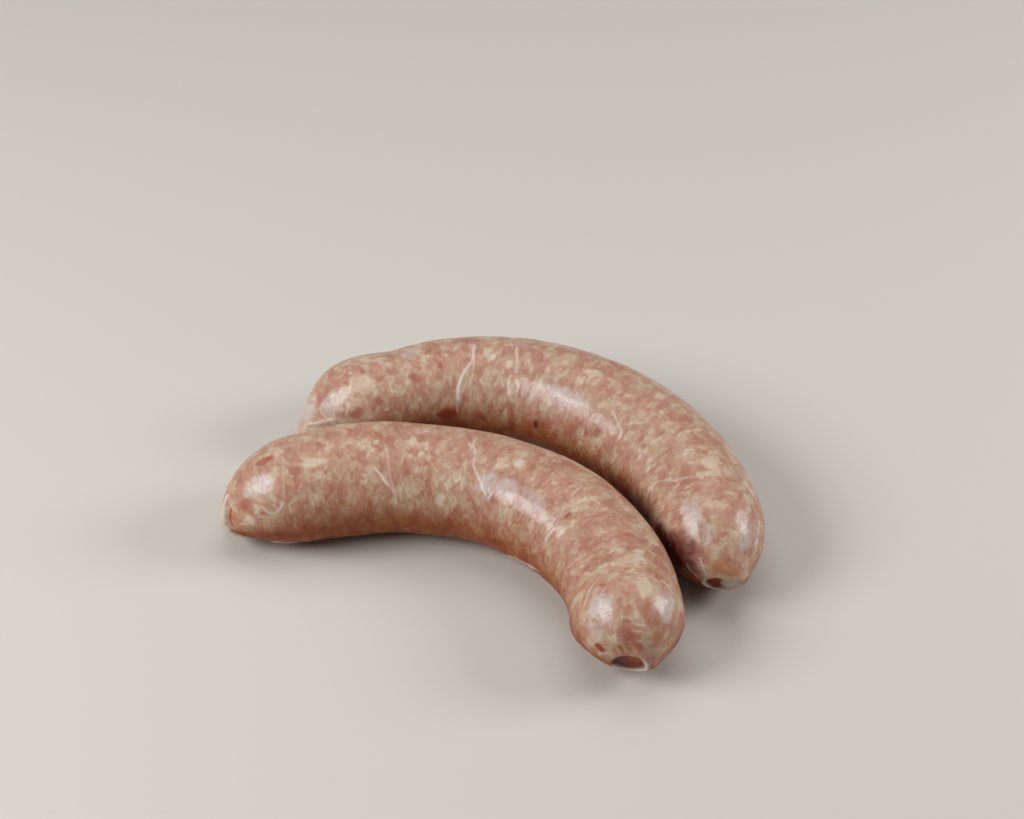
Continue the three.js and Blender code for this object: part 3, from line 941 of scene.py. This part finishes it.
def wet_casing_group():
    """The casing over the meat: how milky it is, how rough its wet face is, and its relief."""
    group, given, result = new_group(
        "Wet casing",
        [("Place", "NodeSocketVector", None), ("Pearl", "NodeSocketFloat", 0.0),
         ("Milk", "NodeSocketFloat", 0.10)],
        [("Veil", "NodeSocketFloat"), ("Roughness", "NodeSocketFloat"),
         ("Height", "NodeSocketFloat"), ("Wet", "NodeSocketFloat")])
    place, pearl_and_glint = given.outputs["Place"], given.outputs["Pearl"]
    drawn = add_node(group, "ShaderNodeMapping", {"Vector": place, "Scale": STRAND_SCALE})
    strands = noise(group, drawn.outputs[0], 1.0, 4.0, 0.6)
    cloud = noise(group, place, CLOUD_SCALE, 3.0)
    crackle = add_node(group, "ShaderNodeTexVoronoi", {"Vector": place, "Scale": CRACK_SCALE},
                       feature="DISTANCE_TO_EDGE").outputs["Distance"]
    edges = math_node(group, "SUBTRACT", 1.0, math_node(group, "MULTIPLY", crackle, CRACK_SHARPNESS),
                      True)
    cloudy = math_node(group, "MULTIPLY", cloud, CLOUDS)
    cloudy = math_node(group, "SUBTRACT", cloudy, CLOUDS / 2)
    milky = math_node(group, "ADD", given.outputs["Milk"], cloudy)
    flecks = math_node(group, "MULTIPLY", strands, FLECK_GAIN)
    flecks = math_node(group, "ADD", flecks, FLECK_FLOOR)
    flecks = math_node(group, "MULTIPLY", pearl_and_glint, flecks)
    veil = math_node(group, "ADD", milky, flecks, True)
    group.links.new(veil, result.inputs["Veil"])
    rough = math_node(group, "MULTIPLY", strands, MOST_ROUGHNESS - LEAST_ROUGHNESS)
    rough = math_node(group, "ADD", rough, LEAST_ROUGHNESS)
    rougher = math_node(group, "MULTIPLY", pearl_and_glint, PEARL_ROUGHNESS)
    rough = math_node(group, "ADD", rough, rougher, True)
    group.links.new(rough, result.inputs["Roughness"])
    wet = math_node(group, "MULTIPLY", strands, WET_GAIN)
    wet = math_node(group, "SUBTRACT", wet, WET_LOSS)
    wet = math_node(group, "ADD", wet, math_node(group, "MULTIPLY", pearl_and_glint, PEARL_WET), True)
    group.links.new(wet, result.inputs["Wet"])
    cracks = math_node(group, "MULTIPLY", math_node(group, "MULTIPLY", edges, pearl_and_glint), CRACK_HEIGHT)
    height = math_node(group, "ADD", strands, cracks)
    group.links.new(height, result.inputs["Height"])
    return group


ground_meat = ground_meat_group()
wet_casing = wet_casing_group()
print("groups:", ground_meat.name, "and", wet_casing.name)

# %% [markdown]
# Light goes a few millimetres into raw meat, so every finish here scatters it under the surface,
# red the furthest. A second shell could hold the water on the casing, but it is so thin that a
# clear coat on the same surface does as well. The strands of the casing are a fine bump, because
# they are thinner than the distance between two points of the mesh.

# %% Scatter light under a wet casing
SCATTER_SHARE = 0.5
SCATTER_RADIUS = (1.0, 0.36, 0.22)
SCATTER_DEPTH = 0.0028  # metres
REFRACTION = 1.42
COAT_ROUGHNESS = 0.17
STRAND_DEPTH = 0.0003   # metres


def finish_nodes(name, skin_inputs, strength):
    """A material whose shader scatters light, under a wet casing with its strands and gloss."""
    material = bpy.data.materials.new(name)
    material.use_nodes = True
    tree = material.node_tree
    shader = tree.nodes["Principled BSDF"]
    shader.inputs["Subsurface Weight"].default_value = SCATTER_SHARE
    shader.inputs["Subsurface Radius"].default_value = SCATTER_RADIUS
    shader.inputs["Subsurface Scale"].default_value = SCATTER_DEPTH
    shader.inputs["IOR"].default_value = REFRACTION
    shader.inputs["Coat Roughness"].default_value = COAT_ROUGHNESS
    skin = use_group(tree, wet_casing, {"Place": place_of(tree), **skin_inputs})
    bump = add_node(tree, "ShaderNodeBump", {
        "Height": skin.outputs["Height"], "Strength": strength, "Distance": STRAND_DEPTH})
    tree.links.new(bump.outputs["Normal"], shader.inputs["Normal"])
    tree.links.new(skin.outputs["Roughness"], shader.inputs["Roughness"])
    return material, tree, shader, skin


# %% [markdown]
# The colours of the mix are a ramp from dark lean to white fat, with some lumps warmer than
# others. The masks then lay single lumps and patches over it. They could be painted by hand, but
# then no two sausages would share a finish. A faint brown mark is amber, because clear fat shows
# through it, and only a strong one is deep brown. The flanks that face down get painted shade
# with a warm bounce tint, and the pearly patches whiten the places where the highlights fall, as
# painted highlight. On dark marks and on that painted flank shade the milky veil and the wet coat
# are left off, since both would whiten them.

# %% Mix the sausage finish
LEAN_TO_FAT = (
    (0.32, (0.35, 0.108, 0.056)),
    (0.41, (0.41, 0.170, 0.092)),
    (0.475, (0.445, 0.228, 0.130)),
    (0.525, (0.468, 0.280, 0.164)),
    (0.59, (0.51, 0.352, 0.226)),
    (0.68, (0.60, 0.468, 0.330)),
)
WARM_COLOUR = (0.52, 0.25, 0.11, 1)
WARM_SHARE = 0.2
FAT_COLOUR = (0.62, 0.50, 0.36, 1)
LEAN_COLOUR = (0.36, 0.09, 0.06, 1)
AMBER_COLOUR = (0.44, 0.15, 0.040, 1)
BROWN_COLOUR = (0.25, 0.036, 0.008, 1)
BRUISE_COLOUR = (0.13, 0.010, 0.011, 1)
# Painted shade with a warm bounce tint, multiplied over the flanks that face down.
FLANK_SHADE_TINT = (0.62, 0.28, 0.08, 1)
VEIL_COLOUR = (0.64, 0.60, 0.58, 1)
CASING_COLOUR = (0.58, 0.51, 0.41, 1)
THREAD_COLOUR = (0.74, 0.66, 0.58, 1)
THREAD_SHARE = 0.8
AMBER_GAIN = 1.5
BROWN_GAIN = 1.4
BROWN_FLOOR = -0.4
GRAIN_GAIN = 1.2
GRAIN_FLOOR = 0.4
SAUSAGE_STRANDS = 0.35
SAUSAGE_GLINT = 0.35


def sausage_finish(name, offset, milk):
    """Ground meat under its casing, with all the marks of a link laid over it."""
    material, tree, shader, skin = finish_nodes(name, {"Milk": milk}, SAUSAGE_STRANDS)
    thread, casing, pearl_and_glint, fat, lean, brown_and_shade, bruise, under, dull = masks_of(tree, *MASKS)
    # The pearly patches whiten the veil, as pearly casing and, on the highlights, as painted
    # highlight.
    tree.links.new(pearl_and_glint, skin.inputs["Pearl"])
    meat = use_group(tree, ground_meat, {"Place": place_of(tree), "Offset": offset})

    ramp = add_node(tree, "ShaderNodeValToRGB", {"Fac": meat.outputs["Fat"]})
    stops = ramp.color_ramp.elements
    while len(stops) < len(LEAN_TO_FAT):
        stops.new(0.5)
    for stop, (position, colour) in zip(stops, LEAN_TO_FAT):
        stop.position = position
        stop.color = (*colour, 1)

    warmth = math_node(tree, "MULTIPLY", meat.outputs["Warmth"], WARM_SHARE)
    colour = mixed(tree, warmth, ramp.outputs["Color"], WARM_COLOUR)
    broken = math_node(tree, "MULTIPLY", meat.outputs["Grain"], GRAIN_GAIN)
    broken = math_node(tree, "ADD", broken, GRAIN_FLOOR)
    thin = math_node(tree, "MULTIPLY", brown_and_shade, AMBER_GAIN, True)
    deep = math_node(tree, "MULTIPLY", brown_and_shade, BROWN_GAIN)
    deep = math_node(tree, "ADD", deep, BROWN_FLOOR, True)
    for mask, tint in ((fat, FAT_COLOUR), (lean, LEAN_COLOUR), (thin, AMBER_COLOUR),
                       (deep, BROWN_COLOUR), (bruise, BRUISE_COLOUR)):
        factor = math_node(tree, "MULTIPLY", mask, broken, True)
        colour = mixed(tree, factor, colour, tint)
    clear = math_node(tree, "SUBTRACT", 1.0, dull, True)
    veil = math_node(tree, "MULTIPLY", skin.outputs["Veil"], clear)
    colour = mixed(tree, veil, colour, VEIL_COLOUR)
    # Painted shade: the lower flanks are multiplied by a dark, warm tint.
    colour = mixed(tree, under, colour, FLANK_SHADE_TINT, "MULTIPLY")
    colour = mixed(tree, casing, colour, CASING_COLOUR)
    pale = math_node(tree, "MULTIPLY", thread, THREAD_SHARE)
    colour = mixed(tree, pale, colour, THREAD_COLOUR)
    tree.links.new(colour, shader.inputs["Base Color"])
    shader.inputs["Specular IOR Level"].default_value = SAUSAGE_GLINT
    wet = math_node(tree, "MULTIPLY", skin.outputs["Wet"], clear)
    tree.links.new(wet, shader.inputs["Coat Weight"])
    return material


# %% [markdown]
# The twist is bare casing with no meat behind it. It could share the sausage's finish with its
# marks turned off, but two colours under the same wet casing say it more plainly.

# %% Mix the bare casing
TWIST_COLOUR = (0.62, 0.44, 0.34, 1)
FOLD_SHADE_COLOUR = (0.52, 0.33, 0.25, 1)
TWIST_STRANDS = 0.4
TWIST_MILK = 0.5
TWIST_PEARL = 0.3
TWIST_WET = 0.5


def casing_finish(name):
    """Bare casing, as on the twist: milky, with painted shade in its folds, and wet."""
    wrapped = {"Pearl": TWIST_PEARL, "Milk": TWIST_MILK}
    material, tree, shader, skin = finish_nodes(name, wrapped, TWIST_STRANDS)
    painted_fold_shade, = masks_of(tree, "painted_fold_shade")
    colour = mixed(tree, skin.outputs["Veil"], TWIST_COLOUR, CASING_COLOUR)
    # Painted shade: the folds are mixed toward a darker colour.
    colour = mixed(tree, painted_fold_shade, colour, FOLD_SHADE_COLOUR)
    tree.links.new(colour, shader.inputs["Base Color"])
    shader.inputs["Coat Weight"].default_value = TWIST_WET
    return material


# %% Dress the pieces
REAR_OFFSET = (37, 11, 23)      # mm, so that the rear link has another mottle

front_link.data.materials.append(sausage_finish("front_sausage", (0, 0, 0), milk=0.10))
rear_link.data.materials.append(sausage_finish("rear_sausage", REAR_OFFSET, milk=0.12))
twist.data.materials.append(casing_finish("bare_casing"))
print("finishes:", ", ".join(m.name for m in bpy.data.materials))

# %% [markdown]
# ## Floor and light
# The links lie on a plain pale floor. One bright sun would give hard shadows and pinpoint glints,
# but wet food is usually seen by a window. A soft light stands at the left in front and a weaker
# one at the right, so that each rounded end shows a highlight on either side. A broad light from
# above fills in, and the world gives a little light from everywhere.

# %% Floor
FLOOR_HALF = 1.5        # metres
FLOOR_COLOUR = (0.60, 0.56, 0.49, 1)
FLOOR_ROUGHNESS = 0.7

floor_mesh = bpy.data.meshes.new("floor")
corners = [(x * FLOOR_HALF, y * FLOOR_HALF, 0) for x, y in ((-1, -1), (1, -1), (1, 1), (-1, 1))]
floor_mesh.from_pydata(corners, [], [(0, 1, 2, 3)])
floor = bpy.data.objects.new("floor", floor_mesh)
scene.collection.objects.link(floor)
floor_finish = bpy.data.materials.new("pale_floor")
floor_finish.use_nodes = True
floor_shader = floor_finish.node_tree.nodes["Principled BSDF"]
floor_shader.inputs["Base Color"].default_value = FLOOR_COLOUR
floor_shader.inputs["Roughness"].default_value = FLOOR_ROUGHNESS
floor_mesh.materials.append(floor_finish)
print("floor:", 2 * FLOOR_HALF, "m square")

# %% Lights
WINDOW_COLOUR = (0.95, 0.97, 1.0)
SKY_COLOUR = (0.96, 0.97, 1.0)
ROOM_COLOUR = (0.94, 0.97, 1.0, 1)
ROOM_STRENGTH = 0.14


def soft_light(name, direction, distance, size, power, colour):
    """An oval of light that shines on the links from a direction. Metres and watts."""
    data = bpy.data.lights.new(name, "AREA")
    data.shape = "ELLIPSE"
    data.size, data.size_y = size
    data.energy = power
    data.color = colour
    light = bpy.data.objects.new(name, data)
    toward = Vector(direction).normalized()
    light.location = toward * distance
    light.rotation_euler = toward.to_track_quat("Z", "Y").to_euler()
    scene.collection.objects.link(light)


soft_light("window_left", direction=(-0.72, -0.24, 0.62), distance=0.9, size=(0.54, 0.46),
           power=6.4, colour=WINDOW_COLOUR)
soft_light("window_right", direction=(0.86, 0.08, 0.50), distance=0.9, size=(0.40, 0.36),
           power=3.8, colour=WINDOW_COLOUR)
soft_light("sky_above", direction=(0.05, 0.30, 1.0), distance=1.0, size=(1.0, 0.9),
           power=3.4, colour=SKY_COLOUR)
world = bpy.data.worlds.new("room")
world.use_nodes = True
room = world.node_tree.nodes["Background"]
room.inputs["Color"].default_value = ROOM_COLOUR
room.inputs["Strength"].default_value = ROOM_STRENGTH
scene.world = world
print("lights:", ", ".join(light.name for light in bpy.data.lights))

# %% [markdown]
# ## Join the scene to the frame
# The string is one piece that never moves against itself, so everything rides on the one body.
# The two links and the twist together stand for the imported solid.

# %% Ride, replace and finish
for piece in (front_link, rear_link, twist):
    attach(piece, "root")
    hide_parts("sausage_string")
